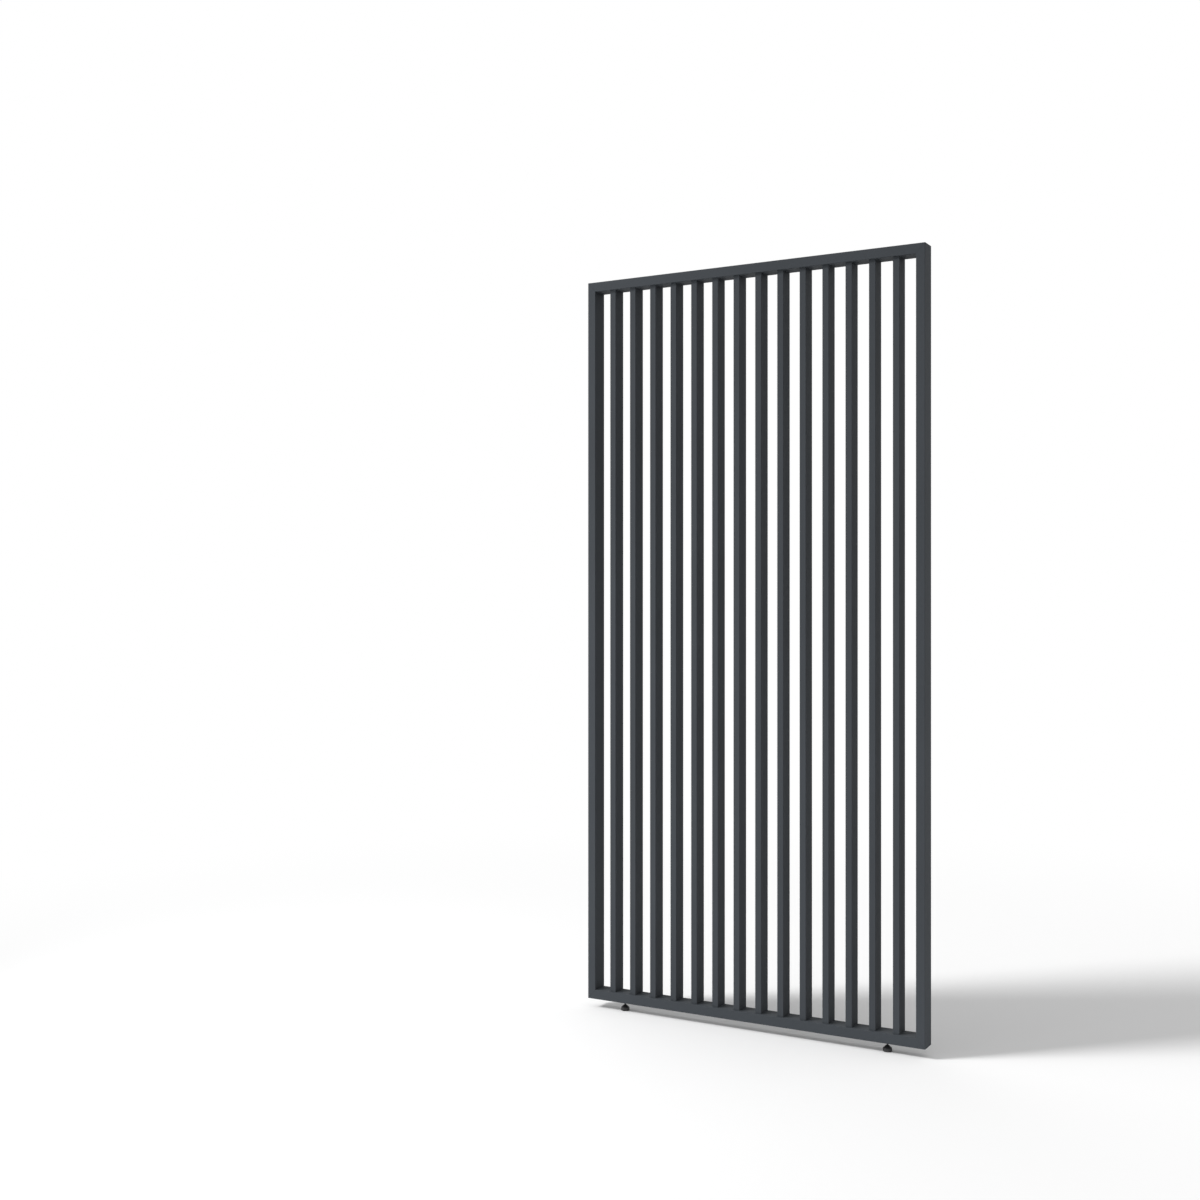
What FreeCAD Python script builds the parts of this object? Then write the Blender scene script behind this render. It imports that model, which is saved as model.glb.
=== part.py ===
import FreeCAD, Part
import os
from types import SimpleNamespace

import Sketcher

# A louvred wall for a pergola: upright slats of rectangular tube in a mitred frame of heavier tube,
# on two feet. Millimetres, +Z up, front towards -Y. The origin is on the floor, under the frame's middle.

DRIVING = {
    # frame tubes, mitred at the four corners: stiles upright, rails level and a little wider in the face
    "frame_width": 1200,
    "frame_height": 2485,
    "stile_face": 29,
    "rail_face": 32,
    "frame_depth": 63,
    "frame_wall": 2,
    "frame_edge": 1.5,
    # slat tube, how far the slats stand behind the frame's front, and the gap beside each stile
    "slat_count": 14,
    "slat_width": 21.4,
    "slat_depth": 55,
    "slat_wall": 1.5,
    "slat_edge": 1,
    "slat_setback": 8,
    "end_gap": 54.9,
    # plugs in the slats' ends, and the screws that hold them to the rails
    "plug_length": 25,
    "plug_clearance": 0.2,
    "plug_lead": 1.5,
    "screw_spacing": 24,
    "screw_diameter": 4.2,
    "screw_head_diameter": 8,
    "screw_head_height": 2.6,
    "screw_head_edge": 0.8,
    "screw_reach": 5,
    "screw_point": 2,
    "hole_clearance": 0.1,
    # corner keys, and the pins that hold them in the tubes
    "key_leg": 70,
    "key_rib": 4,
    "key_clearance": 0.2,
    "pin_diameter": 5,
    "pin_inset": 24,
    "pin_spacing": 30,
    # holes in the stiles' back walls for the bolts of the posts' brackets, set out from both ends
    "fixing_diameter": 7,
    "fixing_margin": 192.5,
    "fixing_spacing": 700,
    "fixing_count": 4,
    # height of the frame over the floor, and the feet's places under the bottom rail
    "foot_gap": 32,
    "foot_inset": 130.5,
    # threaded inserts in the bottom rail
    "insert_diameter": 9,
    "insert_height": 14,
    "insert_flange_diameter": 13,
    "insert_flange_thickness": 1.2,
    "insert_bulge_diameter": 12,
    "insert_bulge_height": 4,
    "thread_clearance": 0.1,
    # studs of the feet
    "stud_diameter": 6,
    "stud_reach": 20,
    "stud_point": 1,
    "flats_width": 5,
    "flats_height": 6,
    "flats_lift": 1,
    "collar_diameter": 9,
    "collar_height": 3,
    # pads of the feet, and the soft soles let into them
    "pad_diameter": 29,
    "pad_bevel": 0.6,
    "rim_height": 10.5,
    "cone_height": 9,
    "cone_top_diameter": 9,
    "socket_web": 2,
    "socket_clearance": 0.15,
    "sole_diameter": 20,
    "sole_thickness": 2.5,
    "sole_seat": 2,
    # how far cuts run past the material
    "overrun": 5,
}

doc = FreeCAD.newDocument("pergola_wall")
sheet = doc.addObject("Spreadsheet::Sheet", "Sizes")
for row, (alias, number) in enumerate(DRIVING.items(), start=1):
    sheet.set(f"A{row}", str(number))
    sheet.setAlias(f"A{row}", alias)
doc.recompute()


class Size:
    """A size worked out from the sheet: the formula that binds a feature to it, and its value now."""

    def __init__(self, formula, value):
        self.formula = formula
        self.value = value

    def __add__(self, other):
        other = as_size(other)
        return Size(f"({self.formula} + {other.formula})", self.value + other.value)

    def __sub__(self, other):
        other = as_size(other)
        return Size(f"({self.formula} - {other.formula})", self.value - other.value)

    def __mul__(self, other):
        other = as_size(other)
        return Size(f"({self.formula} * {other.formula})", self.value * other.value)

    def __truediv__(self, other):
        other = as_size(other)
        return Size(f"({self.formula} / {other.formula})", self.value / other.value)

    def __neg__(self):
        return self * -1


def as_size(number):
    return number if isinstance(number, Size) else Size(str(number), number)


S = SimpleNamespace(**{alias: Size(f"Sizes.{alias}", sheet.get(alias)) for alias in DRIVING})


# Helpers for bodies, sketches and features


def bind(thing, path, size):
    thing.setExpression(path, as_size(size).formula)


def place(piece, x, y, z, turn_axis=FreeCAD.Vector(0, 0, 1), turn_degrees=0):
    piece.Placement = FreeCAD.Placement(FreeCAD.Vector(), FreeCAD.Rotation(turn_axis, turn_degrees))
    for axis, size in zip("xyz", (x, y, z)):
        bind(piece, f"Placement.Base.{axis}", size)


def new_body(label):
    body = doc.addObject("PartDesign::Body", label)
    body.Label = label
    body.AllowCompound = True
    return body


def origin_feature(body, role):
    return next(feature for feature in body.Origin.OriginFeatures if feature.Role == role)


def sketch_on(body, name, role, lift=0):
    """A sketch on one of the body's own planes, or parallel to it at a height along its normal."""
    sketch = body.newObject("Sketcher::SketchObject", name)
    sketch.AttachmentSupport = (origin_feature(body, role), [""])
    sketch.MapMode = "FlatFace"
    bind(sketch, "AttachmentOffset.Base.z", lift)
    return sketch


def hold_point(sketch, geometry, point, x, y):
    """Hold a sketch point at its distances from the sketch's origin."""
    for kind, size in (("DistanceX", as_size(x)), ("DistanceY", as_size(y))):
        index = sketch.addConstraint(Sketcher.Constraint(kind, -1, 1, geometry, point, size.value))
        bind(sketch, f"Constraints[{index}]", size)


def add_polygon(sketch, corners):
    """Straight lines round the corners, each corner held at its own distances."""
    first = sketch.GeometryCount
    points = [FreeCAD.Vector(as_size(x).value, as_size(y).value, 0) for x, y in corners]
    for here, there in zip(points, points[1:] + points[:1]):
        sketch.addGeometry(Part.LineSegment(here, there), False)
    for i, (x, y) in enumerate(corners):
        following = first + (i + 1) % len(corners)
        sketch.addConstraint(Sketcher.Constraint("Coincident", first + i, 2, following, 1))
        hold_point(sketch, first + i, 1, x, y)


def add_rectangle(sketch, left, bottom, right, top):
    add_polygon(sketch, [(left, bottom), (right, bottom), (right, top), (left, top)])


def add_circle(sketch, x, y, radius):
    centre = FreeCAD.Vector(as_size(x).value, as_size(y).value, 0)
    index = sketch.addGeometry(Part.Circle(centre, FreeCAD.Vector(0, 0, 1), radius.value), False)
    hold_point(sketch, index, 3, x, y)
    held = sketch.addConstraint(Sketcher.Constraint("Radius", index, radius.value))
    bind(sketch, f"Constraints[{held}]", radius)


def pad(body, sketch, length, both_ways=False):
    feature = body.newObject("PartDesign::Pad", "pad")
    feature.Profile = sketch
    feature.SideType = "Symmetric" if both_ways else "One side"
    bind(feature, "Length", length)
    doc.recompute()
    return feature


def pocket(body, sketch, length):
    """Cut the sketch's areas out of the body, half of the length to each side of the sketch."""
    before = body.Shape.Volume
    feature = body.newObject("PartDesign::Pocket", "pocket")
    feature.Profile = sketch
    feature.SideType = "Symmetric"
    bind(feature, "Length", length)
    doc.recompute()
    if not body.Shape.Volume < before:
        raise RuntimeError(f"{body.Label}: {sketch.Label} cuts nothing")
    return feature


def revolve(body, sketch):
    """Turn a profile, drawn on the XZ plane, once round the body's Z axis."""
    feature = body.newObject("PartDesign::Revolution", "revolution")
    feature.Profile = sketch
    feature.ReferenceAxis = (sketch, ["V_Axis"])
    feature.Angle = 360
    doc.recompute()
    return feature


def dress(body, kind, base, edges, property_name, size):
    """A fillet or chamfer on some of the edges of a feature."""
    numbers = [i for i, edge in enumerate(base.Shape.Edges, start=1) if any(edge.isSame(e) for e in edges)]
    feature = body.newObject(f"PartDesign::{kind}", kind.lower())
    feature.Base = (base, [f"Edge{i}" for i in numbers])
    bind(feature, property_name, size)
    doc.recompute()
    return feature


def pattern(body, original, axis, count, spacing):
    """Repeat a feature, or the whole body if no feature is given, along one of the body's axes."""
    feature = body.newObject("PartDesign::LinearPattern", "pattern")
    if original is None:
        feature.TransformMode = "Whole shape"
    else:
        feature.Originals = [original]
    feature.Direction = (origin_feature(body, axis), [""])
    feature.Mode = "Spacing"
    bind(feature, "Offset", spacing)
    bind(feature, "Occurrences", count)
    body.Tip = feature
    doc.recompute()
    return feature


# Places that several pieces share

half_width = S.frame_width / 2
frame_bottom = S.foot_gap
frame_middle = frame_bottom + S.frame_height / 2
frame_top = frame_bottom + S.frame_height
inner_width = S.frame_width - S.stile_face * 2
inner_height = S.frame_height - S.rail_face * 2
row_length = inner_width - S.end_gap * 2 - S.slat_width
slat_pitch = row_length / (S.slat_count - 1)
first_slat_x = -row_length / 2
slat_y = -S.frame_depth / 2 + S.slat_setback + S.slat_depth / 2
screw_hole_radius = S.screw_diameter / 2 + S.hole_clearance
pin_hole_radius = S.pin_diameter / 2 + S.hole_clearance
foot_x = half_width - S.foot_inset
AXIS_X = FreeCAD.Vector(1, 0, 0)
AXIS_Y = FreeCAD.Vector(0, 1, 0)
AXIS_Z = FreeCAD.Vector(0, 0, 1)


# Tubes


def tube(label, face, depth, wall, edge, outer_length, inner_length):
    """A rectangular tube along Z, centred on its origin, outer_length long at -X and inner_length at +X."""
    body = new_body(label)
    outline = sketch_on(body, "outline", "XZ_Plane")
    add_polygon(
        outline,
        [
            (-face / 2, -outer_length / 2),
            (face / 2, -inner_length / 2),
            (face / 2, inner_length / 2),
            (-face / 2, outer_length / 2),
        ],
    )
    bar = pad(body, outline, depth, both_ways=True)
    long_edges = sorted(bar.Shape.Edges, key=lambda e: e.BoundBox.ZLength - e.BoundBox.XLength)[-4:]
    dress(body, "Fillet", bar, long_edges, "Radius", edge)
    hollow = sketch_on(body, "hollow", "XY_Plane")
    half_inside = face / 2 - wall
    half_depth_inside = depth / 2 - wall
    add_rectangle(hollow, -half_inside, -half_depth_inside, half_inside, half_depth_inside)
    pocket(body, hollow, outer_length + S.overrun)
    return body


def wall_holes(body, name, face, side, places, radius):
    """Round holes through one wall of a frame tube, side +1 for the inner wall and -1 for the outer one."""
    sketch = sketch_on(body, name, "YZ_Plane", (face / 2 - S.frame_wall / 2) * side)
    for y, z in places:
        add_circle(sketch, y, z, radius)
    return pocket(body, sketch, S.frame_wall + S.overrun)


def frame_tube(label, length, face, end_face):
    """A tube of the frame, mitred against tubes with the end_face, with the pin holes in its inner wall."""
    inner_length = length - end_face * 2
    body = tube(label, face, S.frame_depth, S.frame_wall, S.frame_edge, length, inner_length)
    pin_z = inner_length / 2 - S.pin_inset
    pin_y = S.pin_spacing / 2
    places = [(pin_y, pin_z), (-pin_y, pin_z), (pin_y, -pin_z), (-pin_y, -pin_z)]
    wall_holes(body, "pin_holes", face, 1, places, pin_hole_radius)
    return body


def stile(label, side):
    """An upright of the frame, with holes in its back wall for the bolts of a post's brackets. The right one
    is turned half round, so its back wall is the front one as it is drawn."""
    body = frame_tube(label, S.frame_height, S.stile_face, S.rail_face)
    holes = sketch_on(body, "fixing_holes", "XZ_Plane", (S.frame_depth / 2 - S.frame_wall / 2) * side)
    radius = S.fixing_diameter / 2
    # pairs of holes step inwards from the two ends, and an odd one stands in the middle
    pairs, odd_one = divmod(int(S.fixing_count.value), 2)
    for i in range(pairs):
        from_middle = S.frame_height / 2 - S.fixing_margin - S.fixing_spacing * i
        add_circle(holes, 0, from_middle, radius)
        add_circle(holes, 0, -from_middle, radius)
    if odd_one:
        add_circle(holes, 0, 0, radius)
    pocket(body, holes, S.frame_wall + S.overrun)
    place(body, (half_width - S.stile_face / 2) * side, 0, frame_middle, AXIS_Z, 0 if side < 0 else 180)
    return body


def rail(label, side):
    """A level tube of the frame, with the holes for the plugs' screws in its inner wall."""
    body = frame_tube(label, S.frame_width, S.rail_face, S.stile_face)
    half_spacing = S.screw_spacing / 2
    places = [(slat_y - half_spacing, -row_length / 2), (slat_y + half_spacing, -row_length / 2)]
    first = wall_holes(body, "screw_holes", S.rail_face, 1, places, screw_hole_radius)
    pattern(body, first, "Z_Axis", S.slat_count, slat_pitch)
    place(body, 0, 0, frame_middle + (S.frame_height - S.rail_face) / 2 * side, AXIS_Y, 90 * side)
    return body


left_stile = stile("left_stile", -1)
right_stile = stile("right_stile", 1)
top_rail = rail("top_rail", 1)
bottom_rail = rail("bottom_rail", -1)
insert_hole_radius = S.insert_diameter / 2 + S.hole_clearance
insert_places = [(0, -foot_x), (0, foot_x)]
wall_holes(bottom_rail, "insert_holes", S.rail_face, -1, insert_places, insert_hole_radius)
pieces = [left_stile, right_stile, top_rail, bottom_rail]

for i in range(int(S.slat_count.value)):
    slat = tube(
        f"slat_{i + 1:02d}", S.slat_width, S.slat_depth, S.slat_wall, S.slat_edge, inner_height, inner_height
    )
    place(slat, first_slat_x + slat_pitch * i, slat_y, frame_middle)
    pieces.append(slat)


# Plugs in the slats' ends and their screws


def plug_row(label, height, turn_degrees):
    """A row of plugs, one per slat, standing on a rail's inner face."""
    body = new_body(label)
    half_x = S.slat_width / 2 - S.slat_wall - S.plug_clearance
    half_y = S.slat_depth / 2 - S.slat_wall - S.plug_clearance
    section = sketch_on(body, "section", "XY_Plane")
    add_rectangle(section, -half_x, -half_y, half_x, half_y)
    add_circle(section, 0, -S.screw_spacing / 2, screw_hole_radius)
    add_circle(section, 0, S.screw_spacing / 2, screw_hole_radius)
    block = pad(body, section, S.plug_length)
    free_end = max(block.Shape.Faces, key=lambda face: face.CenterOfMass.z)
    dress(body, "Chamfer", block, free_end.OuterWire.Edges, "Size", S.plug_lead)
    pattern(body, None, "X_Axis", S.slat_count, slat_pitch)
    place(body, first_slat_x, slat_y, height, AXIS_X, turn_degrees)
    return body


def screw_row(label, height, turn_degrees):
    """Two pan-head screws per plug, heads on the plugs' free ends and points inside the rail."""
    body = new_body(label)
    head_radius = S.screw_head_diameter / 2
    radius = S.screw_diameter / 2
    length = S.plug_length + S.frame_wall + S.screw_reach
    half_profile = sketch_on(body, "half_profile", "XZ_Plane")
    add_polygon(
        half_profile,
        [
            (0, -length),
            (radius, -length + S.screw_point),
            (radius, 0),
            (head_radius, 0),
            (head_radius, S.screw_head_height - S.screw_head_edge),
            (head_radius - S.screw_head_edge, S.screw_head_height),
            (0, S.screw_head_height),
        ],
    )
    revolve(body, half_profile)
    pattern(body, None, "Y_Axis", 2, S.screw_spacing)
    pattern(body, None, "X_Axis", S.slat_count, slat_pitch)
    towards_front = 1 if turn_degrees == 0 else -1
    place(body, first_slat_x, slat_y - S.screw_spacing / 2 * towards_front, height, AXIS_X, turn_degrees)
    return body


lower_seat = frame_bottom + S.rail_face
upper_seat = frame_top - S.rail_face
pieces.append(plug_row("bottom_slat_plugs", lower_seat, 0))
pieces.append(plug_row("top_slat_plugs", upper_seat, 180))
pieces.append(screw_row("bottom_plug_screws", lower_seat + S.plug_length, 0))
pieces.append(screw_row("top_plug_screws", upper_seat - S.plug_length, 180))


# Corner keys and their pins

key_near = S.frame_wall + S.key_clearance
stile_far = S.stile_face - key_near
rail_far = S.rail_face - key_near
pin_along_rail = S.stile_face + S.pin_inset
pin_up_stile = S.rail_face + S.pin_inset
pin_length = S.frame_wall + S.key_clearance + S.key_rib


def corner_key(label, x_side, z_side):
    """An angle with hollow legs, drawn for the lower left corner, its origin at the frame's corner."""
    body = new_body(label)
    angle = sketch_on(body, "angle", "XZ_Plane")
    near, leg, rib = key_near, S.key_leg, S.key_rib
    corner = (stile_far, rail_far)
    add_polygon(angle, [(near, near), (leg, near), (leg, rail_far), corner, (stile_far, leg), (near, leg)])
    add_rectangle(angle, stile_far, near + rib, leg - rib, rail_far - rib)
    add_rectangle(angle, near + rib, rail_far, stile_far - rib, leg - rib)
    pad(body, angle, S.frame_depth - key_near * 2, both_ways=True)
    half_spacing = S.pin_spacing / 2
    rail_leg = sketch_on(body, "rail_leg_holes", "XY_Plane", rail_far - rib / 2)
    stile_leg = sketch_on(body, "stile_leg_holes", "YZ_Plane", stile_far - rib / 2)
    for y in (-half_spacing, half_spacing):
        add_circle(rail_leg, pin_along_rail, y, pin_hole_radius)
        add_circle(stile_leg, y, pin_up_stile, pin_hole_radius)
    pocket(body, rail_leg, rib + S.overrun)
    pocket(body, stile_leg, rib + S.overrun)
    # a half turn about Y, Z or X carries the lower left corner to each of the others
    turn_axis = {(1, 1): AXIS_Y, (1, -1): AXIS_Z, (-1, 1): AXIS_X, (-1, -1): AXIS_X}[x_side, z_side]
    turn_degrees = 0 if (x_side, z_side) == (-1, -1) else 180
    place(body, half_width * x_side, 0, frame_top if z_side > 0 else frame_bottom, turn_axis, turn_degrees)
    return body


def pin(name, x, y, z, turn_degrees):
    """One pin, upright or turned to lie along +X, centred on its place."""
    cylinder = doc.addObject("Part::Cylinder", name)
    bind(cylinder, "Radius", S.pin_diameter / 2)
    bind(cylinder, "Height", pin_length)
    if turn_degrees == 0:
        place(cylinder, x, y, z - pin_length / 2)
    else:
        place(cylinder, x - pin_length / 2, y, z, AXIS_Y, turn_degrees)
    return cylinder


pins = []
for x_side, x_name in ((-1, "left"), (1, "right")):
    for z_side, z_name in ((-1, "bottom"), (1, "top")):
        pieces.append(corner_key(f"{z_name}_{x_name}_corner_key", x_side, z_side))
        rail_pin_x = (half_width - pin_along_rail) * x_side
        rail_pin_z = frame_middle + (inner_height + pin_length) / 2 * z_side
        stile_pin_x = (inner_width + pin_length) / 2 * x_side
        stile_pin_z = frame_middle + (S.frame_height / 2 - pin_up_stile) * z_side
        for y in (-S.pin_spacing / 2, S.pin_spacing / 2):
            pins.append(pin("rail_pin", rail_pin_x, y, rail_pin_z, 0))
            pins.append(pin("stile_pin", stile_pin_x, y, stile_pin_z, 90))
corner_pins = doc.addObject("Part::Compound", "corner_pins")
corner_pins.Label = "corner_pins"
corner_pins.Links = pins
pieces.append(corner_pins)


# Feet

pad_bottom = S.sole_thickness - S.sole_seat
rim_top = pad_bottom + S.rim_height
cone_top = rim_top + S.cone_height
socket_floor = S.sole_thickness + S.socket_web
stud_radius = S.stud_diameter / 2


def foot_insert(label, side):
    """A threaded insert set in the bottom rail's lower wall, gripping it between a flange and a bulge."""
    body = new_body(label)
    bore = stud_radius + S.thread_clearance
    outside = S.insert_diameter / 2
    flange = S.insert_flange_diameter / 2
    bulge = S.insert_bulge_diameter / 2
    bulge_top = S.frame_wall + S.insert_bulge_height
    half_profile = sketch_on(body, "half_profile", "XZ_Plane")
    add_polygon(
        half_profile,
        [
            (bore, -S.insert_flange_thickness),
            (flange, -S.insert_flange_thickness),
            (flange, 0),
            (outside, 0),
            (outside, S.frame_wall),
            (bulge, S.frame_wall),
            (bulge, bulge_top),
            (outside, bulge_top),
            (outside, S.insert_height),
            (bore, S.insert_height),
        ],
    )
    revolve(body, half_profile)
    place(body, foot_x * side, 0, frame_bottom)
    return body


def foot_stud(label, side):
    """A stud with a collar at its lower end, held in the pad's socket, and two flats for a spanner."""
    body = new_body(label)
    collar = S.collar_diameter / 2
    top = frame_bottom + S.stud_reach
    half_profile = sketch_on(body, "half_profile", "XZ_Plane")
    add_polygon(
        half_profile,
        [
            (0, socket_floor),
            (collar, socket_floor),
            (collar, socket_floor + S.collar_height),
            (stud_radius, socket_floor + S.collar_height),
            (stud_radius, top - S.stud_point),
            (stud_radius - S.stud_point, top),
            (0, top),
        ],
    )
    revolve(body, half_profile)
    flats = sketch_on(body, "flats", "XY_Plane", cone_top + S.flats_lift + S.flats_height / 2)
    clear = stud_radius + S.overrun
    add_rectangle(flats, -clear, S.flats_width / 2, clear, clear)
    add_rectangle(flats, -clear, -clear, clear, -S.flats_width / 2)
    pocket(body, flats, S.flats_height)
    place(body, foot_x * side, 0, 0)
    return body


def foot_pad(label, side):
    """A round pad with a cone on top, a seat for the sole below and a socket for the stud's collar."""
    body = new_body(label)
    radius = S.pad_diameter / 2
    seat = S.sole_diameter / 2 + S.hole_clearance
    bore = stud_radius + S.socket_clearance
    socket = S.collar_diameter / 2 + S.socket_clearance
    socket_top = socket_floor + S.collar_height + S.socket_clearance
    half_profile = sketch_on(body, "half_profile", "XZ_Plane")
    add_polygon(
        half_profile,
        [
            (0, S.sole_thickness),
            (seat, S.sole_thickness),
            (seat, pad_bottom),
            (radius - S.pad_bevel, pad_bottom),
            (radius, pad_bottom + S.pad_bevel),
            (radius, rim_top),
            (S.cone_top_diameter / 2, cone_top),
            (bore, cone_top),
            (bore, socket_top),
            (socket, socket_top),
            (socket, socket_floor),
            (0, socket_floor),
        ],
    )
    revolve(body, half_profile)
    place(body, foot_x * side, 0, 0)
    return body


def foot_sole(label, side):
    sole = doc.addObject("Part::Cylinder", label)
    sole.Label = label
    bind(sole, "Radius", S.sole_diameter / 2)
    bind(sole, "Height", S.sole_thickness)
    place(sole, foot_x * side, 0, 0)
    return sole


for side, side_name in ((-1, "left"), (1, "right")):
    pieces.append(foot_insert(f"{side_name}_foot_insert", side))
    pieces.append(foot_stud(f"{side_name}_foot_stud", side))
    pieces.append(foot_pad(f"{side_name}_foot_pad", side))
    pieces.append(foot_sole(f"{side_name}_foot_sole", side))


# Check every object, then write one file per piece

doc.recompute()
failed = [thing.Label for thing in doc.Objects if {"Invalid", "Error"} & set(thing.State)]
if failed:
    raise RuntimeError(f"these objects failed: {failed}")
for piece in pieces:
    if piece.Shape.isNull() or not piece.Shape.isValid():
        raise RuntimeError(f"{piece.Label} has no valid shape")
os.makedirs("parts", exist_ok=True)
for piece in pieces:
    piece.Shape.exportStep(f"parts/{piece.Label}.step")
    print(f"{piece.Label}: {len(piece.Shape.Solids)} solids, {piece.Shape.Volume:.0f} mm3")
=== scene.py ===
"""The looks of a louvred pergola wall, piece by piece in the order in which it is put together.

Metres, +Z up, front towards -Y. The origin is on the floor, under the middle of the frame.
"""
import math

import bpy
import numpy as np
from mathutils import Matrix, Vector


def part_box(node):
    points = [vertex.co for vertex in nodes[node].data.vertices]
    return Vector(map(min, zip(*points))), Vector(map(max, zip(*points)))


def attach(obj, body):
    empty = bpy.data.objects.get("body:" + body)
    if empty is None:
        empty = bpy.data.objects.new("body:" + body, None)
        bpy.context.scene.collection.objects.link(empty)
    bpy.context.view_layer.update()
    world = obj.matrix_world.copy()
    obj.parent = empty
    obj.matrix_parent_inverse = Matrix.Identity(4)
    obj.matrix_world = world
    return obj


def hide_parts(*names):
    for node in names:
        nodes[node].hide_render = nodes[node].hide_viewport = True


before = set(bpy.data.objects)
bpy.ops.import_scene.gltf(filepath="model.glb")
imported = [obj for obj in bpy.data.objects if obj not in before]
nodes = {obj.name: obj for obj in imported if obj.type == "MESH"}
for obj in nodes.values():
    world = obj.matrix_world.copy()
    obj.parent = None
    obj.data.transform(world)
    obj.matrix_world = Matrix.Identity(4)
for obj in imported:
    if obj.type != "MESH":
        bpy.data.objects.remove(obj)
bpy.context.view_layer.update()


# Frame tubes
# Two stiles and two rails of rectangular aluminium tube, mitred and drawn together on hidden keys.
# Their powder coat is matt dark grey, with a fine grain, a faint orange peel and a hairline along each mitre.

FRAME_TUBES = ["left_stile", "right_stile", "top_rail", "bottom_rail"]
COAT_DARK = (0.0392, 0.0445, 0.0508, 1)
COAT_LIGHT = (0.0460, 0.0522, 0.0597, 1)
COAT_ROUGHNESS = (0.64, 0.76)
COAT_SPECULAR = 0.17
COAT_DRIFT_WIDTH = 0.35
COAT_DRIFT_SHARE = 0.6
COAT_PEEL_WIDTH = 0.0035
COAT_PEEL_DETAIL = 1.0
COAT_PEEL_DEPTH = 0.00012
COAT_GRAIN_WIDTH = 0.0006
COAT_GRAIN_DETAIL = 3.0
COAT_GRAIN_DEPTH = 0.00008
COAT_GRAIN_SHARE = 0.4
SEAM_HALF_WIDTH = 0.00025
SEAM_DEPTH = 0.0003
SEAM_COLOUR = (0.012, 0.013, 0.014, 1)
COLOUR_MIX_INPUTS = (0, 6, 7)
COLOUR_MIX_OUTPUT = 2


def new_material(name):
    """A new material, with its node tree and the shader that its other nodes feed."""
    material = bpy.data.materials.new(name)
    material.use_nodes = True
    return material, material.node_tree, material.node_tree.nodes["Principled BSDF"]


def plug_in(tree, socket, source):
    """Link a node's output to a socket, or set the socket if the source is a plain value."""
    if isinstance(source, bpy.types.NodeSocket):
        tree.links.new(source, socket)
    else:
        socket.default_value = source


def place_on_object(tree, stretch=(1, 1, 1)):
    """The point on the piece in the wall's own frame, squeezed along each axis by the stretch."""
    coordinates = tree.nodes.new("ShaderNodeTexCoord")
    mapping = tree.nodes.new("ShaderNodeMapping")
    mapping.inputs["Scale"].default_value = stretch
    tree.links.new(coordinates.outputs["Object"], mapping.inputs["Vector"])
    return mapping.outputs["Vector"]


def mottle(tree, place, width, detail=2.0):
    """Fractal noise whose patches are about as wide as the given width. Detail adds finer ones to them."""
    noise = tree.nodes.new("ShaderNodeTexNoise")
    noise.inputs["Scale"].default_value = 1 / width
    noise.inputs["Detail"].default_value = detail
    tree.links.new(place, noise.inputs["Vector"])
    return noise.outputs[0]


def spread(tree, value, low, high, from_low=0.3, from_high=0.7):
    """The value carried smoothly from one range to another, and held at the ends."""
    ramp = tree.nodes.new("ShaderNodeMapRange")
    ramp.interpolation_type = "SMOOTHSTEP"
    for name, source in zip(("Value", "From Min", "From Max", "To Min", "To Max"),
                            (value, from_low, from_high, low, high)):
        plug_in(tree, ramp.inputs[name], source)
    return ramp.outputs["Result"]


def reckon(tree, operation, first, second=0.0):
    """One step of arithmetic on one or two values."""
    step = tree.nodes.new("ShaderNodeMath")
    step.operation = operation
    plug_in(tree, step.inputs[0], first)
    plug_in(tree, step.inputs[1], second)
    return step.outputs[0]


def tint(tree, share, first, second, blend="MIX"):
    """Two colours mixed by a share from 0 to 1."""
    mix = tree.nodes.new("ShaderNodeMix")
    mix.data_type = "RGBA"
    mix.blend_type = blend
    for index, source in zip(COLOUR_MIX_INPUTS, (share, first, second)):
        plug_in(tree, mix.inputs[index], source)
    return mix.outputs[COLOUR_MIX_OUTPUT]


def relief(tree, height, depth, below=None):
    """A bump of the given depth at full strength, laid over the relief below it."""
    bump = tree.nodes.new("ShaderNodeBump")
    bump.inputs["Strength"].default_value = 1.0
    bump.inputs["Distance"].default_value = depth
    tree.links.new(height, bump.inputs["Height"])
    if below is not None:
        tree.links.new(below, bump.inputs["Normal"])
    return bump.outputs["Normal"]


def powder_coat(name):
    """The coat's shader: its tone is the drift and the grain added by their shares, and its relief is the
    grain laid over the peel. Colour and relief are handed back, so that a piece can add to them."""
    material, tree, shader = new_material(name)
    place = place_on_object(tree)
    grain = mottle(tree, place, COAT_GRAIN_WIDTH, COAT_GRAIN_DETAIL)
    peel = mottle(tree, place, COAT_PEEL_WIDTH, COAT_PEEL_DETAIL)
    drift = mottle(tree, place, COAT_DRIFT_WIDTH)
    drift_part = reckon(tree, "MULTIPLY", drift, COAT_DRIFT_SHARE)
    grain_part = reckon(tree, "MULTIPLY", grain, COAT_GRAIN_SHARE)
    tone = reckon(tree, "ADD", drift_part, grain_part)
    colour = tint(tree, spread(tree, tone, 0.0, 1.0), COAT_DARK, COAT_LIGHT)
    normal = relief(tree, grain, COAT_GRAIN_DEPTH, relief(tree, peel, COAT_PEEL_DEPTH))
    tree.links.new(spread(tree, grain, *COAT_ROUGHNESS), shader.inputs["Roughness"])
    shader.inputs["Specular IOR Level"].default_value = COAT_SPECULAR
    return material, tree, shader, colour, normal


def dress(names, material):
    """Give the CAD pieces of these names the material, in every slot."""
    for name in names:
        for slot in nodes[name].material_slots:
            slot.material = material


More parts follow.
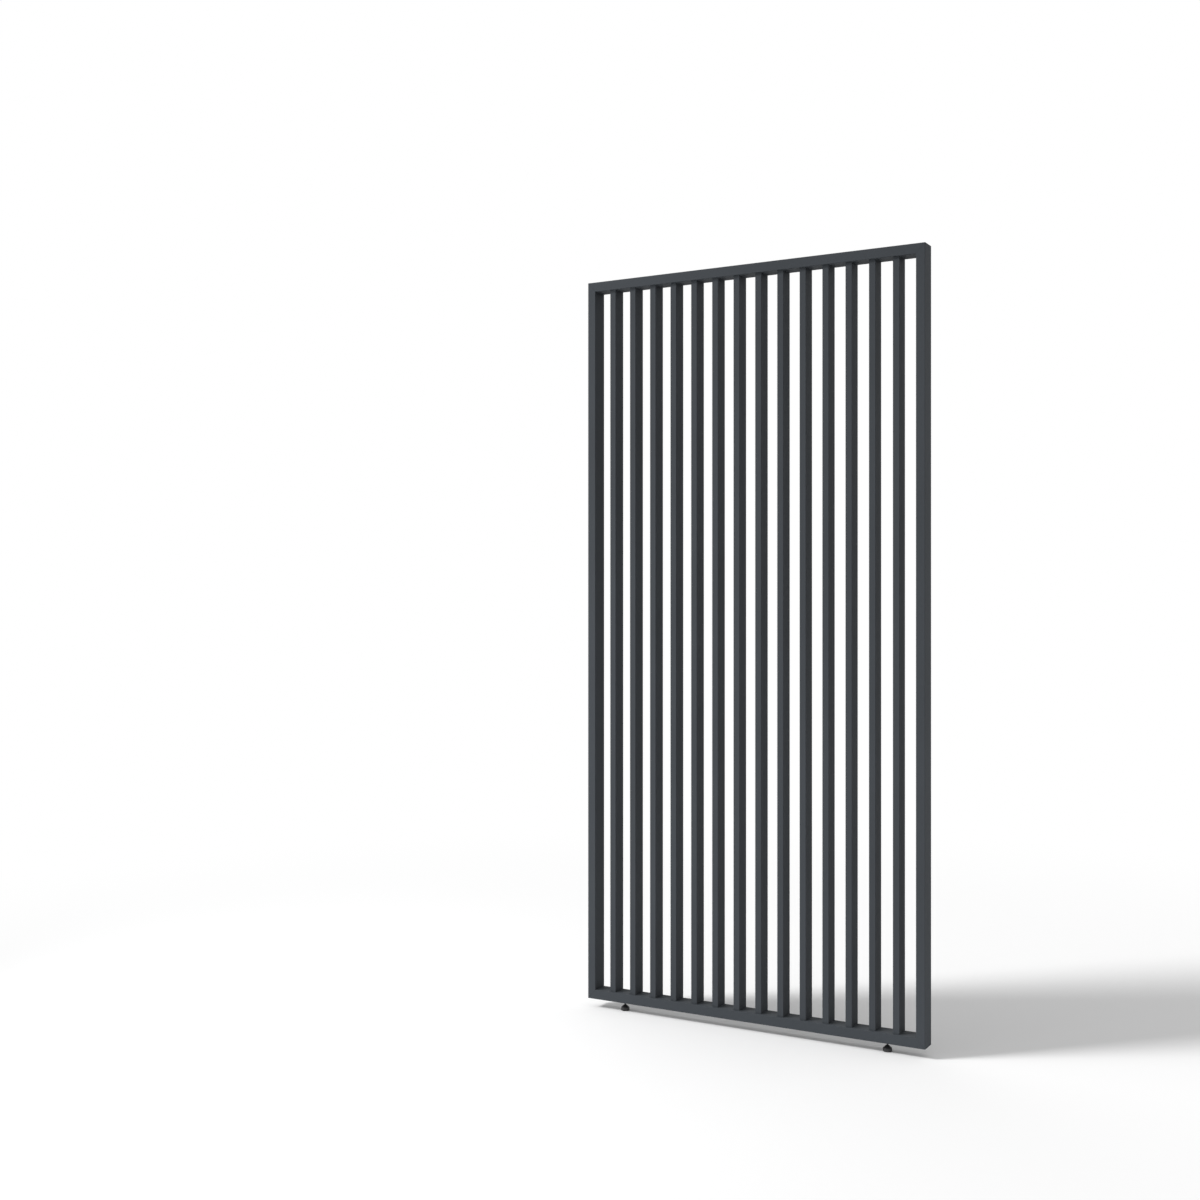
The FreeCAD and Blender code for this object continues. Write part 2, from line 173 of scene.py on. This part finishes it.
def mitre_nearness(tree):
    """1 on the four mitre planes and 0 off them. A mitre runs from the frame's outer corner to its inner one,
    so a point's distance from it is the difference of its distances in from the side and from the end, each
    weighed by the face of the other tube and divided by the mitre's length."""
    low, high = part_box("left_stile")[0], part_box("right_stile")[1]
    stile_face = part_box("left_stile")[1].x - low.x
    rail_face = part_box("bottom_rail")[1].z - low.z
    mitre_length = math.hypot(stile_face, rail_face)
    split = tree.nodes.new("ShaderNodeSeparateXYZ")
    tree.links.new(place_on_object(tree), split.inputs[0])
    from_side = reckon(tree, "SUBTRACT", high.x, reckon(tree, "ABSOLUTE", split.outputs["X"]))
    up = reckon(tree, "SUBTRACT", split.outputs["Z"], (low.z + high.z) / 2)
    from_end = reckon(tree, "SUBTRACT", (high.z - low.z) / 2, reckon(tree, "ABSOLUTE", up))
    across = reckon(tree, "MULTIPLY", from_side, rail_face / mitre_length)
    along = reckon(tree, "MULTIPLY", from_end, stile_face / mitre_length)
    apart = reckon(tree, "ABSOLUTE", reckon(tree, "SUBTRACT", across, along))
    return spread(tree, apart, 1.0, 0.0, 0.0, SEAM_HALF_WIDTH)


def frame_coat():
    """The coat, darkened and sunk along the mitres."""
    material, tree, shader, colour, normal = powder_coat("frame_powder_coat")
    seam = mitre_nearness(tree)
    tree.links.new(tint(tree, seam, colour, SEAM_COLOUR), shader.inputs["Base Color"])
    sunk = reckon(tree, "SUBTRACT", 1.0, seam)
    tree.links.new(relief(tree, sunk, SEAM_DEPTH, normal), shader.inputs["Normal"])
    return material


dress(FRAME_TUBES, frame_coat())


# Slats
# Fourteen lengths of flatter aluminium tube, upright between the rails and set back from the frame's front.
# They are coated as the frame is. Each hung on its own hook for coating, so their tones differ a little.

SLATS = sorted(name for name in nodes if name.startswith("slat_"))
SLAT_TONE_LOW = 0.965
SLAT_TONE_HIGH = 1.0


def slat_coat():
    """The coat, darkened by a chance amount that is the same all over one slat: the number of the slat
    that a point is on, counted in pitches across the wall, picks the amount."""
    material, tree, shader, colour, normal = powder_coat("slat_powder_coat")
    first, second = (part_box(name)[0].x for name in SLATS[:2])
    split = tree.nodes.new("ShaderNodeSeparateXYZ")
    tree.links.new(place_on_object(tree), split.inputs[0])
    across = reckon(tree, "SUBTRACT", split.outputs["X"], first)
    number = reckon(tree, "FLOOR", reckon(tree, "DIVIDE", across, second - first))
    chance = tree.nodes.new("ShaderNodeTexWhiteNoise")
    chance.noise_dimensions = "1D"
    tree.links.new(number, chance.inputs["W"])
    tone = spread(tree, chance.outputs["Value"], SLAT_TONE_LOW, SLAT_TONE_HIGH, 0.0, 1.0)
    tree.links.new(tint(tree, 1.0, colour, tone, "MULTIPLY"), shader.inputs["Base Color"])
    tree.links.new(normal, shader.inputs["Normal"])
    return material


dress(SLATS, slat_coat())


# Slat plugs
# A block in each end of each slat, injection moulded in black plastic with a lead-in at its free end.
# The plugs stand on the rails and the slats slide over them, so they only show when the wall is taken apart.

PLASTIC_DARK = (0.010, 0.010, 0.011, 1)
PLASTIC_LIGHT = (0.019, 0.019, 0.020, 1)
PLASTIC_ROUGHNESS = (0.42, 0.6)
PLASTIC_GRAIN_WIDTH = 0.0005
PLASTIC_GRAIN_DEPTH = 0.00006
PLASTIC_FLOW_WIDTH = 0.006
PLASTIC_FLOW_DETAIL = 3.0


def moulded_plastic(name):
    """Black plastic from a spark-eroded mould: an even grain, and faint streaks where the melt flowed."""
    material, tree, shader = new_material(name)
    place = place_on_object(tree)
    grain = mottle(tree, place, PLASTIC_GRAIN_WIDTH)
    flow = mottle(tree, place, PLASTIC_FLOW_WIDTH, PLASTIC_FLOW_DETAIL)
    colour = tint(tree, spread(tree, flow, 0.0, 1.0), PLASTIC_DARK, PLASTIC_LIGHT)
    tree.links.new(colour, shader.inputs["Base Color"])
    tree.links.new(spread(tree, grain, *PLASTIC_ROUGHNESS), shader.inputs["Roughness"])
    tree.links.new(relief(tree, grain, PLASTIC_GRAIN_DEPTH), shader.inputs["Normal"])
    return material


plastic = moulded_plastic("black_moulded_plastic")
dress(["bottom_slat_plugs", "top_slat_plugs"], plastic)


# Plug screws
# Pan-head screws that hold the plugs to the rails, two to a plug.
# They are steel with a bright zinc plate, mottled where the passivation took unevenly.

ZINC_BLUE = (0.50, 0.52, 0.55, 1)
ZINC_WARM = (0.58, 0.57, 0.54, 1)
ZINC_ROUGHNESS = (0.28, 0.44)
ZINC_BLOOM_WIDTH = 0.004
ZINC_BLOOM_DETAIL = 3.0
ZINC_GRAIN_WIDTH = 0.0004
ZINC_GRAIN_DEPTH = 0.00002


def bright_zinc(name):
    """Zinc plate: a bloom from bluish to warm that is also duller or brighter, over a very fine grain."""
    material, tree, shader = new_material(name)
    place = place_on_object(tree)
    bloom = mottle(tree, place, ZINC_BLOOM_WIDTH, ZINC_BLOOM_DETAIL)
    grain = mottle(tree, place, ZINC_GRAIN_WIDTH)
    colour = tint(tree, spread(tree, bloom, 0.0, 1.0), ZINC_BLUE, ZINC_WARM)
    tree.links.new(colour, shader.inputs["Base Color"])
    tree.links.new(spread(tree, bloom, *ZINC_ROUGHNESS), shader.inputs["Roughness"])
    tree.links.new(relief(tree, grain, ZINC_GRAIN_DEPTH), shader.inputs["Normal"])
    shader.inputs["Metallic"].default_value = 1.0
    return material


zinc = bright_zinc("bright_zinc")
dress(["bottom_plug_screws", "top_plug_screws"], zinc)


# Corner keys
# An angle with hollow legs in each corner of the frame, sawn from an aluminium extrusion and left bare.
# Die lines run the way it was pressed, from front to back.

KEYS = sorted(name for name in nodes if name.endswith("_corner_key"))
MILL_DARK = (0.52, 0.53, 0.54, 1)
MILL_LIGHT = (0.66, 0.665, 0.67, 1)
MILL_ROUGHNESS = (0.3, 0.5)
DIE_LINE_WIDTH = 0.0005
DIE_LINE_DETAIL = 3.0
DIE_LINE_DEPTH = 0.00004
DIE_LINE_STRETCH = (1, 0.02, 1)


def mill_aluminium(name):
    """Bare extruded aluminium: noise drawn out along the press direction makes the die lines."""
    material, tree, shader = new_material(name)
    lines = mottle(tree, place_on_object(tree, DIE_LINE_STRETCH), DIE_LINE_WIDTH, DIE_LINE_DETAIL)
    colour = tint(tree, spread(tree, lines, 0.0, 1.0), MILL_DARK, MILL_LIGHT)
    tree.links.new(colour, shader.inputs["Base Color"])
    tree.links.new(spread(tree, lines, *MILL_ROUGHNESS), shader.inputs["Roughness"])
    tree.links.new(relief(tree, lines, DIE_LINE_DEPTH), shader.inputs["Normal"])
    shader.inputs["Metallic"].default_value = 1.0
    return material


dress(KEYS, mill_aluminium("mill_aluminium"))


# Corner pins
# Steel pins that hold the keys in the tubes, driven flush with the tubes' inner walls before coating.
# The coat runs over their ends, a shade darker where the film is thin on the steel.

PIN_COAT_SHADE = (0.86, 0.86, 0.87, 1)


def pin_coat():
    """The coat, with its colour multiplied by a shade."""
    material, tree, shader, colour, normal = powder_coat("pin_powder_coat")
    tree.links.new(tint(tree, 1.0, colour, PIN_COAT_SHADE, "MULTIPLY"), shader.inputs["Base Color"])
    tree.links.new(normal, shader.inputs["Normal"])
    return material


dress(["corner_pins"], pin_coat())


# Foot inserts
# A threaded steel insert for each foot, zinc plated, squeezed into the bottom rail's lower wall.
# Only its thin flange shows, under the rail.

dress(["left_foot_insert", "right_foot_insert"], zinc)


# Foot studs
# A steel stud for each foot, turned from bar and blackened: a collar held in the pad, two flats for a spanner
# and a rolled thread that runs up into the insert and sets the foot's height.

SIDES = ("left", "right")
STUD_RADIUS = 0.003
STUD_COLLAR_RADIUS = 0.0045
STUD_COLLAR_HEIGHT = 0.003
STUD_FLATS_HALF_WIDTH = 0.0025
STUD_FLATS_BOTTOM = 0.021
STUD_FLATS_TOP = 0.027
STUD_EASE = 0.0003
STUD_AXIS_GAP = 0.0005
THREAD_PITCH = 0.001
THREAD_DEPTH = 0.00061
THREAD_START = 0.0277
THREAD_POINT = 0.001
THREAD_CREST_SHARE = 1 / 8
THREAD_ROOT_SHARE = 1 / 4
ROWS_PER_TURN = 12
STUD_COLUMNS = 60
EASE_STEPS = 5
SHARP_EDGE = math.radians(40)
BLACKING_DARK = (0.012, 0.012, 0.013, 1)
BLACKING_LIGHT = (0.030, 0.029, 0.029, 1)
BLACKING_ROUGHNESS = (0.38, 0.52)
BLACKING_WIDTH = 0.003
BLACKING_DETAIL = 3.0
TURNING_WIDTH = 0.0003
TURNING_STRETCH = (0.05, 0.05, 1)
TURNING_DEPTH = 0.00002


def black_steel(name):
    """Blackened steel: cloudy from the bath, with fine rings from the lathe, which are noise that changes
    quickly with height and slowly across."""
    material, tree, shader = new_material(name)
    cloud = mottle(tree, place_on_object(tree), BLACKING_WIDTH, BLACKING_DETAIL)
    rings = mottle(tree, place_on_object(tree, TURNING_STRETCH), TURNING_WIDTH)
    colour = tint(tree, spread(tree, cloud, 0.0, 1.0), BLACKING_DARK, BLACKING_LIGHT)
    tree.links.new(colour, shader.inputs["Base Color"])
    tree.links.new(spread(tree, cloud, *BLACKING_ROUGHNESS), shader.inputs["Roughness"])
    tree.links.new(relief(tree, rings, TURNING_DEPTH), shader.inputs["Normal"])
    return material


def wrapped_grid(name, points):
    """A closed mesh from a grid of points, whose rows run from the lower pole to the upper one and whose
    columns go once round. Neighbours make quads, the last column joins the first, and the first and last
    rows shrink to one point each with a fan of triangles."""
    rows, columns = points.shape[:2]
    around = np.arange(columns)
    onward = np.roll(around, -1)
    start = np.arange(rows - 1)[:, None] * columns
    above = start + columns
    quads = np.stack([start + around, start + onward, above + onward, above + around], axis=-1)
    lower_pole, upper_pole = rows * columns, rows * columns + 1
    last = (rows - 1) * columns
    lower_fan = np.stack([np.full(columns, lower_pole), onward, around], axis=-1)
    upper_fan = np.stack([last + around, last + onward, np.full(columns, upper_pole)], axis=-1)
    poles = np.stack([points[0].mean(axis=0), points[-1].mean(axis=0)])
    vertices = np.concatenate([points.reshape(-1, 3), poles])
    mesh = bpy.data.meshes.new(name)
    faces = quads.reshape(-1, 4).tolist() + lower_fan.tolist() + upper_fan.tolist()
    mesh.from_pydata(vertices.tolist(), [], faces)
    mesh.shade_smooth()
    mesh.set_sharp_from_angle(angle=SHARP_EDGE)
    piece = bpy.data.objects.new(name, mesh)
    bpy.context.scene.collection.objects.link(piece)
    return piece


def eased(corners, ease):
    """A profile through the corners, each but the first and last eased by a parabola that leaves the two
    sides at the ease's distance from the corner, or at half the side where that is shorter."""
    corners = np.array(corners, float)
    before, here, after = corners[:-2], corners[1:-1], corners[2:]
    back, on = before - here, after - here
    back_length = np.linalg.norm(back, axis=1, keepdims=True)
    on_length = np.linalg.norm(on, axis=1, keepdims=True)
    leave = here + back / back_length * np.minimum(ease, back_length / 2)
    join = here + on / on_length * np.minimum(ease, on_length / 2)
    s = np.linspace(0, 1, EASE_STEPS)[None, :, None]
    curve = (1 - s) ** 2 * leave[:, None] + 2 * s * (1 - s) * here[:, None] + s ** 2 * join[:, None]
    return np.concatenate([corners[:1], curve.reshape(-1, 2), corners[-1:]])


def stud_points(middle, bottom, top):
    """Radius by height and angle. The collar and neck are turned to a profile. Two rows carry the flats:
    there the radius stops at two planes either side of the axis. Above them the thread lowers the radius
    by a wave of the height less the pitch times the turn: flat at the crest, straight down the flank and
    flat at the root, fading in over one turn. At the top a cone cuts the thread to a point."""
    collar_top = bottom + STUD_COLLAR_HEIGHT
    turned = eased([
        (STUD_AXIS_GAP, bottom),
        (STUD_COLLAR_RADIUS, bottom),
        (STUD_COLLAR_RADIUS, collar_top),
        (STUD_RADIUS, collar_top),
        (STUD_RADIUS, STUD_FLATS_BOTTOM),
    ], STUD_EASE)
    flat_heights = [STUD_FLATS_BOTTOM, STUD_FLATS_TOP]
    turns = (top - STUD_FLATS_TOP) / THREAD_PITCH
    thread_heights = np.linspace(STUD_FLATS_TOP, top, int(turns * ROWS_PER_TURN))
    height = np.concatenate([turned[:, 1], flat_heights, thread_heights])[:, None]
    plain = np.full(len(height), STUD_RADIUS)
    plain[:len(turned)] = turned[:, 0]
    angle = np.linspace(0, 2 * np.pi, STUD_COLUMNS, endpoint=False)[None, :]
    from_crest = np.abs((height / THREAD_PITCH - angle / (2 * np.pi)) % 1 - 0.5)
    flank = 0.5 - THREAD_CREST_SHARE / 2 - THREAD_ROOT_SHARE / 2
    sink = np.clip((from_crest - THREAD_CREST_SHARE / 2) / flank, 0, 1)
    fade = np.clip((height - THREAD_START) / THREAD_PITCH, 0, 1)
    radius = plain[:, None] - THREAD_DEPTH * sink * fade
    below_point = top - THREAD_POINT - height
    radius = np.where(below_point < 0, np.minimum(radius, STUD_RADIUS + below_point), radius)
    row = np.arange(len(height))[:, None]
    has_flats = (row >= len(turned)) & (row < len(turned) + len(flat_heights))
    beside_axis = np.maximum(np.abs(radius * np.sin(angle)), STUD_FLATS_HALF_WIDTH)
    radius = np.where(has_flats, radius * STUD_FLATS_HALF_WIDTH / beside_axis, radius)
    return np.stack([middle.x + radius * np.cos(angle), middle.y + radius * np.sin(angle),
                     np.broadcast_to(height, radius.shape)], axis=-1)


blacking = black_steel("blackened_steel")
for side in SIDES:
    node = f"{side}_foot_stud"
    low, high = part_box(node)
    stud = wrapped_grid(f"{side}_threaded_stud", stud_points((low + high) / 2, low.z, high.z))
    stud.data.materials.append(blacking)
    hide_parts(node)
    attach(stud, f"{side}_stud")


# Foot pads
# A round pad for each foot, injection moulded in black plastic: a rim, a cone up to the stud, a socket
# that snaps over the stud's collar and a seat underneath for the sole.

PAD_RIM_HEIGHT = 0.0105
PAD_CONE_TOP_RADIUS = 0.0045
PAD_BEVEL = 0.0006
PAD_BORE_RADIUS = 0.00315
PAD_SOCKET_RADIUS = 0.00465
PAD_SOCKET_FLOOR = 0.0045
PAD_SOCKET_TOP = 0.00765
PAD_SEAT_RADIUS = 0.0101
PAD_SEAT_HEIGHT = 0.0025
PAD_EASE = 0.0005
PAD_COLUMNS = 96
NEAR_AXIS = 0.0008


def turned_points(middle, profile, columns):
    """A profile of radius and height turned once round the upright line through the middle."""
    angle = np.linspace(0, 2 * np.pi, columns, endpoint=False)[None, :]
    radius, height = profile[:, :1], profile[:, 1:]
    return np.stack([middle.x + radius * np.cos(angle), middle.y + radius * np.sin(angle),
                     np.broadcast_to(height, (len(profile), columns))], axis=-1)


for side in SIDES:
    node = f"{side}_foot_pad"
    low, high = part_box(node)
    rim_radius = (high.x - low.x) / 2
    rim_top = low.z + PAD_RIM_HEIGHT
    profile = eased([
        (NEAR_AXIS, PAD_SEAT_HEIGHT),
        (PAD_SEAT_RADIUS, PAD_SEAT_HEIGHT),
        (PAD_SEAT_RADIUS, low.z),
        (rim_radius - PAD_BEVEL, low.z),
        (rim_radius, low.z + PAD_BEVEL),
        (rim_radius, rim_top),
        (PAD_CONE_TOP_RADIUS, high.z),
        (PAD_BORE_RADIUS, high.z),
        (PAD_BORE_RADIUS, PAD_SOCKET_TOP),
        (PAD_SOCKET_RADIUS, PAD_SOCKET_TOP),
        (PAD_SOCKET_RADIUS, PAD_SOCKET_FLOOR),
        (NEAR_AXIS, PAD_SOCKET_FLOOR),
    ], PAD_EASE)
    pad = wrapped_grid(f"{side}_moulded_pad", turned_points((low + high) / 2, profile, PAD_COLUMNS))
    pad.data.materials.append(plastic)
    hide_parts(node)
    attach(pad, f"{side}_foot")


# Foot soles
# A disc of soft black rubber pressed into the pad's seat, a little proud, so that the foot doesn't slip.
# It is stamped from sheet, with its edges a little rounded.

RUBBER_DARK = (0.012, 0.012, 0.012, 1)
RUBBER_LIGHT = (0.026, 0.026, 0.025, 1)
RUBBER_ROUGHNESS = (0.78, 0.95)
RUBBER_FLECK_WIDTH = 0.0009
RUBBER_FLECK_DETAIL = 4.0
RUBBER_FLECK_DEPTH = 0.00008
SOLE_EASE = 0.0003


def soft_rubber(name):
    """Matt rubber: one fine fleck makes its tone, its dullness and its relief."""
    material, tree, shader = new_material(name)
    fleck = mottle(tree, place_on_object(tree), RUBBER_FLECK_WIDTH, RUBBER_FLECK_DETAIL)
    colour = tint(tree, spread(tree, fleck, 0.0, 1.0), RUBBER_DARK, RUBBER_LIGHT)
    tree.links.new(colour, shader.inputs["Base Color"])
    tree.links.new(spread(tree, fleck, *RUBBER_ROUGHNESS), shader.inputs["Roughness"])
    tree.links.new(relief(tree, fleck, RUBBER_FLECK_DEPTH), shader.inputs["Normal"])
    return material


rubber = soft_rubber("soft_rubber")
for side in SIDES:
    node = f"{side}_foot_sole"
    low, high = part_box(node)
    radius = (high.x - low.x) / 2
    profile = eased([(NEAR_AXIS, low.z), (radius, low.z), (radius, high.z), (NEAR_AXIS, high.z)], SOLE_EASE)
    sole = wrapped_grid(f"{side}_rubber_sole", turned_points((low + high) / 2, profile, PAD_COLUMNS))
    sole.data.materials.append(rubber)
    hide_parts(node)
    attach(sole, f"{side}_foot")


# Studio floor
# A plain white floor, matt and level, that takes the wall's shadow and melts into the backdrop away from it.
# Far off it throws little light back, so that more light comes up at the wall's foot than at its top.

FLOOR_HALF_WIDTH = 60.0
FLOOR_COLOUR = (0.9, 0.9, 0.9, 1)
FLOOR_FAR_COLOUR = (0.15, 0.15, 0.15, 1)
FLOOR_FADE_START = 1.6
FLOOR_FADE_END = 4.5
FLOOR_FAR_START = 4.8
WHITE = (1, 1, 1, 1)


def seen_directly(tree):
    """1 for what the camera sees, straight or by a reflection or through glass, and 0 for scattered light."""
    path = tree.nodes.new("ShaderNodeLightPath")
    mirrored = reckon(tree, "MAXIMUM", path.outputs["Is Glossy Ray"], path.outputs["Is Transmission Ray"])
    return reckon(tree, "MAXIMUM", path.outputs["Is Camera Ray"], mirrored)


def floor_white():
    """Matt white near the wall, and plain white light further off, by the distance from the wall's foot.
    Where only that light is seen, the matt colour under it turns dark."""
    material, tree, shader = new_material("studio_floor")
    shader.inputs["Roughness"].default_value = 1.0
    shader.inputs["Specular IOR Level"].default_value = 0.0
    away = tree.nodes.new("ShaderNodeVectorMath")
    away.operation = "LENGTH"
    tree.links.new(place_on_object(tree), away.inputs[0])
    fade = spread(tree, away.outputs["Value"], 0.0, 1.0, FLOOR_FADE_START, FLOOR_FADE_END)
    far = spread(tree, away.outputs["Value"], 0.0, 1.0, FLOOR_FADE_END, FLOOR_FAR_START)
    tree.links.new(tint(tree, far, FLOOR_COLOUR, FLOOR_FAR_COLOUR), shader.inputs["Base Color"])
    glow = tree.nodes.new("ShaderNodeEmission")
    glow.inputs["Color"].default_value = WHITE
    mix = tree.nodes.new("ShaderNodeMixShader")
    tree.links.new(reckon(tree, "MULTIPLY", fade, seen_directly(tree)), mix.inputs[0])
    tree.links.new(shader.outputs[0], mix.inputs[1])
    tree.links.new(glow.outputs[0], mix.inputs[2])
    tree.links.new(mix.outputs[0], tree.nodes["Material Output"].inputs["Surface"])
    return material


floor_mesh = bpy.data.meshes.new("studio_floor")
floor_corners = np.array([(-1, -1, 0), (1, -1, 0), (1, 1, 0), (-1, 1, 0)]) * FLOOR_HALF_WIDTH
floor_mesh.from_pydata(floor_corners.tolist(), [], [(0, 1, 2, 3)])
floor_mesh.materials.append(floor_white())
floor = bpy.data.objects.new("studio_floor", floor_mesh)
bpy.context.scene.collection.objects.link(floor)


# Studio light
# A distant soft key from the left, in front and above, a tall strip light near the wall's left edge,
# and an even white room round everything.

ROOM_LIGHT = 0.61
BACKDROP_LIGHT = 1.0
KEY_STRENGTH = 2.2
KEY_SOFTNESS = math.radians(13)
KEY_WAY = (-0.596, -0.482, 0.643)
STRIP_PLACE = (-2.3, -1.6, 1.5)
STRIP_WIDTH = 0.5
STRIP_HEIGHT = 3.0
STRIP_POWER = 29.0
LEVEL_TILT = math.pi / 2

world = bpy.data.worlds.new("white_room")
bpy.context.scene.world = world
world.use_nodes = True
room = world.node_tree
lit = room.nodes["Background"]
lit.inputs["Color"].default_value = WHITE
lit.inputs["Strength"].default_value = ROOM_LIGHT
backdrop = room.nodes.new("ShaderNodeBackground")
backdrop.inputs["Color"].default_value = WHITE
backdrop.inputs["Strength"].default_value = BACKDROP_LIGHT
choice = room.nodes.new("ShaderNodeMixShader")
room.links.new(seen_directly(room), choice.inputs[0])
room.links.new(lit.outputs[0], choice.inputs[1])
room.links.new(backdrop.outputs[0], choice.inputs[2])
room.links.new(choice.outputs[0], room.nodes["World Output"].inputs["Surface"])

key = bpy.data.lights.new("key_light", "SUN")
key.energy = KEY_STRENGTH
key.angle = KEY_SOFTNESS
key_lamp = bpy.data.objects.new("key_light", key)
key_lamp.rotation_euler = Vector(KEY_WAY).to_track_quat("Z", "Y").to_euler()
bpy.context.scene.collection.objects.link(key_lamp)

strip = bpy.data.lights.new("strip_light", "AREA")
strip.shape = "RECTANGLE"
strip.size = STRIP_WIDTH
strip.size_y = STRIP_HEIGHT
strip.energy = STRIP_POWER
strip_lamp = bpy.data.objects.new("strip_light", strip)
strip_lamp.location = STRIP_PLACE
strip_lamp.rotation_euler = (LEVEL_TILT, 0, math.atan2(STRIP_PLACE[0], -STRIP_PLACE[1]))
bpy.context.scene.collection.objects.link(strip_lamp)


# Camera
# Level, a little over half the wall's height, to the right of the wall's middle and turned back towards it.
# The lens is a short portrait length, so the far edge is only a little smaller than the near one.

CAMERA_PLACE = (2.0024, -4.4921, 1.4158)
CAMERA_TURN = math.radians(29.799)
CAMERA_LENS = 44.549
CAMERA_SENSOR = 36.0

camera = bpy.data.cameras.new("camera")
camera.lens = CAMERA_LENS
camera.sensor_width = CAMERA_SENSOR
camera_stand = bpy.data.objects.new("camera", camera)
camera_stand.location = CAMERA_PLACE
camera_stand.rotation_euler = (LEVEL_TILT, 0, CAMERA_TURN)
bpy.context.scene.collection.objects.link(camera_stand)
bpy.context.scene.camera = camera_stand
bpy.context.scene.view_settings.view_transform = "Standard"
